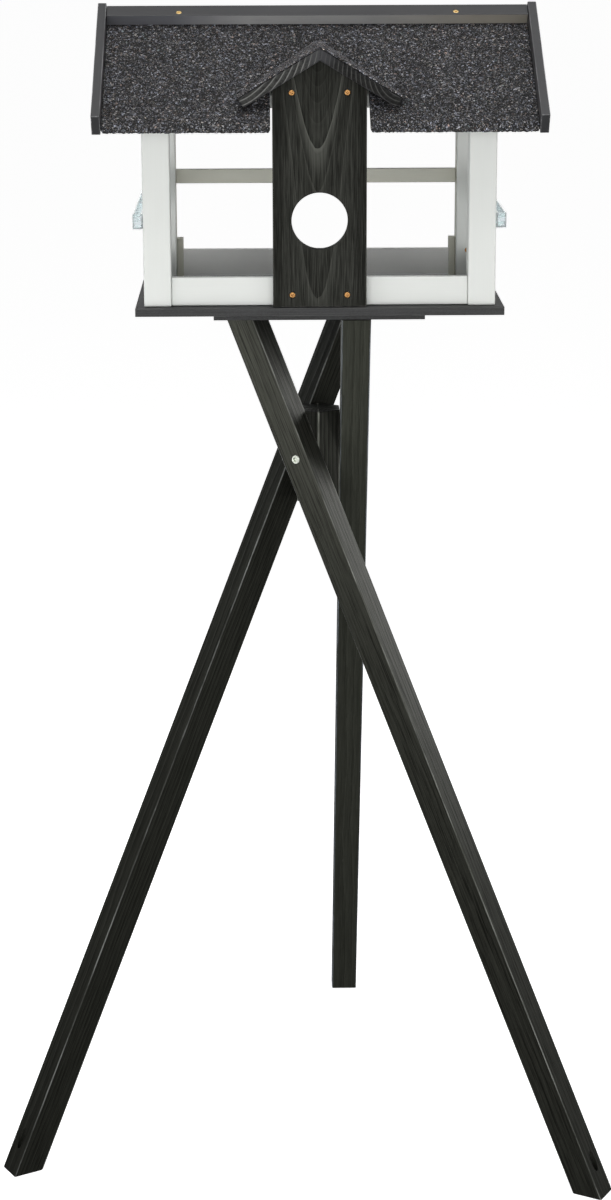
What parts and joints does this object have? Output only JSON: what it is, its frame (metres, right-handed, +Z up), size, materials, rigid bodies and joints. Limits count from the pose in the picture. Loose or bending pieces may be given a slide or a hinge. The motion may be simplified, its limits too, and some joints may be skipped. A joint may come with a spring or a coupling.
{
  "type": "bird feeder on stand",
  "caption": "Open bird table with a felted saddle roof, a gabled front board with a round entrance, and side troughs, standing on crossed square legs bolted to a hub.",
  "frame": {"origin": "on the ground, under the centre of the bounding box; the stand axis and the middle of the house are at x = 0.0215, y = -0.0790", "axes": "+Z up; the front of the house, with the entrance hole, faces -Y; +X is to the right seen from the front"},
  "size_m": [0.7442, 0.6816, 1.3963],
  "materials": {
    "black_stained_timber": "satin black stain over visible grain",
    "black_stained_board": "satin black stain on thin board",
    "grey_paint": "smooth satin dark grey paint",
    "white_paint": "satin off-white paint",
    "roofing_felt": "bitumen felt with coarse mineral granules",
    "clear_plastic": "clear glossy acrylic with a faint blue-green tint",
    "brass": "yellow passivated wood screws",
    "zinc_steel": "bright zinc plating"
  },
  "bodies": {
    "stand_and_house": {"leg_front": "black_stained_timber", "leg_left": "black_stained_timber", "leg_rear": "black_stained_timber", "hub_block": "black_stained_timber", "front_board": "black_stained_timber", "dormer_slat_left": "black_stained_timber", "dormer_slat_right": "black_stained_timber", "base_board": "black_stained_board", "mounting_board": "black_stained_board", "roof_panel_front": "black_stained_board", "roof_panel_rear": "black_stained_board", "barge_front_left": "grey_paint", "barge_front_right": "grey_paint", "barge_rear_left": "grey_paint", "barge_rear_right": "grey_paint", "ridge_board_front": "grey_paint", "ridge_board_rear": "grey_paint", "post_front_left": "white_paint", "post_front_right": "white_paint", "post_rear_left": "white_paint", "post_rear_right": "white_paint", "bottom_rail_front": "white_paint", "mid_rail_rear": "white_paint", "top_rail_front": "white_paint", "top_rail_rear": "white_paint", "bottom_rail_left": "white_paint", "bottom_rail_right": "white_paint", "mid_rail_left": "white_paint", "mid_rail_right": "white_paint", "gable_left": "white_paint", "gable_right": "white_paint", "rail_guide_left": "white_paint", "rail_guide_right": "white_paint", "roof_felt_front": "roofing_felt", "roof_felt_rear": "roofing_felt", "dormer_felt": "roofing_felt", "front_board_screw_1": "brass", "front_board_screw_2": "brass", "front_board_screw_3": "brass", "front_board_screw_4": "brass", "ridge_screw_front_1": "brass", "ridge_screw_front_2": "brass", "ridge_screw_rear_1": "brass", "ridge_screw_rear_2": "brass", "corner_screw_1": "brass", "corner_screw_2": "brass", "leg_screw_1": "zinc_steel", "leg_screw_2": "zinc_steel", "leg_screw_3": "zinc_steel", "mounting_screw_1": "zinc_steel", "mounting_screw_2": "zinc_steel", "mounting_screw_3": "zinc_steel", "mounting_screw_4": "zinc_steel", "hub_bolt_front": "zinc_steel", "hub_bolt_left": "zinc_steel", "hub_bolt_rear": "zinc_steel"},
    "trough_left": {"trough_left": "clear_plastic"},
    "trough_right": {"trough_right": "clear_plastic"},
    "lift_rail": {"lift_rail_rear": "white_paint"}
  },
  "joints": [
    {"name": "trough_left_lift", "type": "slide", "parent": "stand_and_house", "child": "trough_left", "axis": [0, 0, 1], "range_m": [0, 0.03]},
    {"name": "trough_right_lift", "type": "slide", "parent": "stand_and_house", "child": "trough_right", "axis": [0, 0, 1], "range_m": [0, 0.03]},
    {"name": "rear_rail_lift", "type": "slide", "parent": "stand_and_house", "child": "lift_rail", "axis": [0, 0, 1], "range_m": [0, 0.05]}
  ]
}
